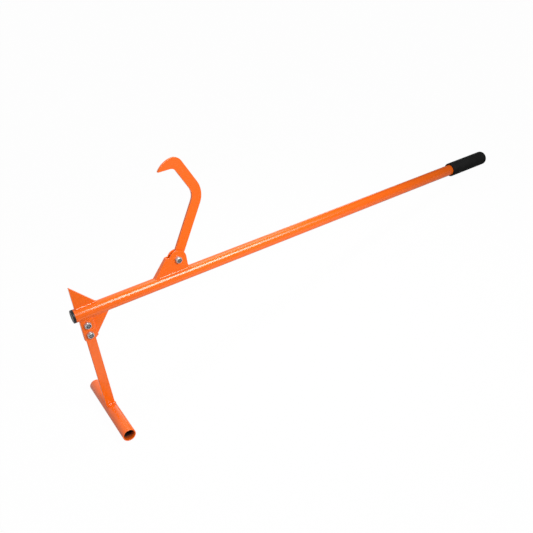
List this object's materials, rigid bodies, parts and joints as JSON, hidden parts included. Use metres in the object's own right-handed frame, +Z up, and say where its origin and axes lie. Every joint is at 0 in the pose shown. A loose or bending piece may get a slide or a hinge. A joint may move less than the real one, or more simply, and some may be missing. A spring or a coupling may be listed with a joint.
{
  "type": "cant hook log lifter",
  "caption": "Steel tube handle with a swinging log hook, a fixed toe plate and a bolted leg on a cross-tube foot, for rolling and lifting logs.",
  "frame": {"origin": "centre of the bounding box on the ground, where the tool lies on its foot tube and the end of its grip", "axes": "+X along the handle on the ground from the toe end to the grip, +Y along the foot tube, away from the nuts, +Z up"},
  "size_m": [1.2202, 0.208, 0.4618],
  "materials": {
    "orange_paint": "glossy orange powder coat",
    "grip_rubber": "matte, finely textured",
    "plug_plastic": "moulded",
    "zinc_steel": "zinc plated",
    "dark_nylon": "moulded"
  },
  "bodies": {
    "frame": {"handle_tube": "orange_paint", "toe_plate": "orange_paint", "toe_welds": "orange_paint", "leg_socket": "orange_paint", "socket_welds": "orange_paint", "leg_gusset": "orange_paint", "gusset_welds": "orange_paint", "leg_bar": "orange_paint", "foot_tube": "orange_paint", "foot_welds": "orange_paint", "hook_bracket": "orange_paint", "bracket_welds": "orange_paint", "upper_leg_bolt": "zinc_steel", "upper_leg_nut": "zinc_steel", "lower_leg_bolt": "zinc_steel", "lower_leg_nut": "zinc_steel", "pivot_bolt": "zinc_steel", "pivot_nut": "zinc_steel", "upper_nut_insert": "dark_nylon", "lower_nut_insert": "dark_nylon", "pivot_nut_insert": "dark_nylon", "grip": "grip_rubber", "end_plug": "plug_plastic"},
    "hook": {"hook": "orange_paint"}
  },
  "joints": [
    {"name": "hook_swing", "type": "hinge", "parent": "frame", "child": "hook", "pos_m": [-0.32259, 0, 0.25633], "axis": [0, -1, 0], "range_deg": [-65, 66]}
  ]
}
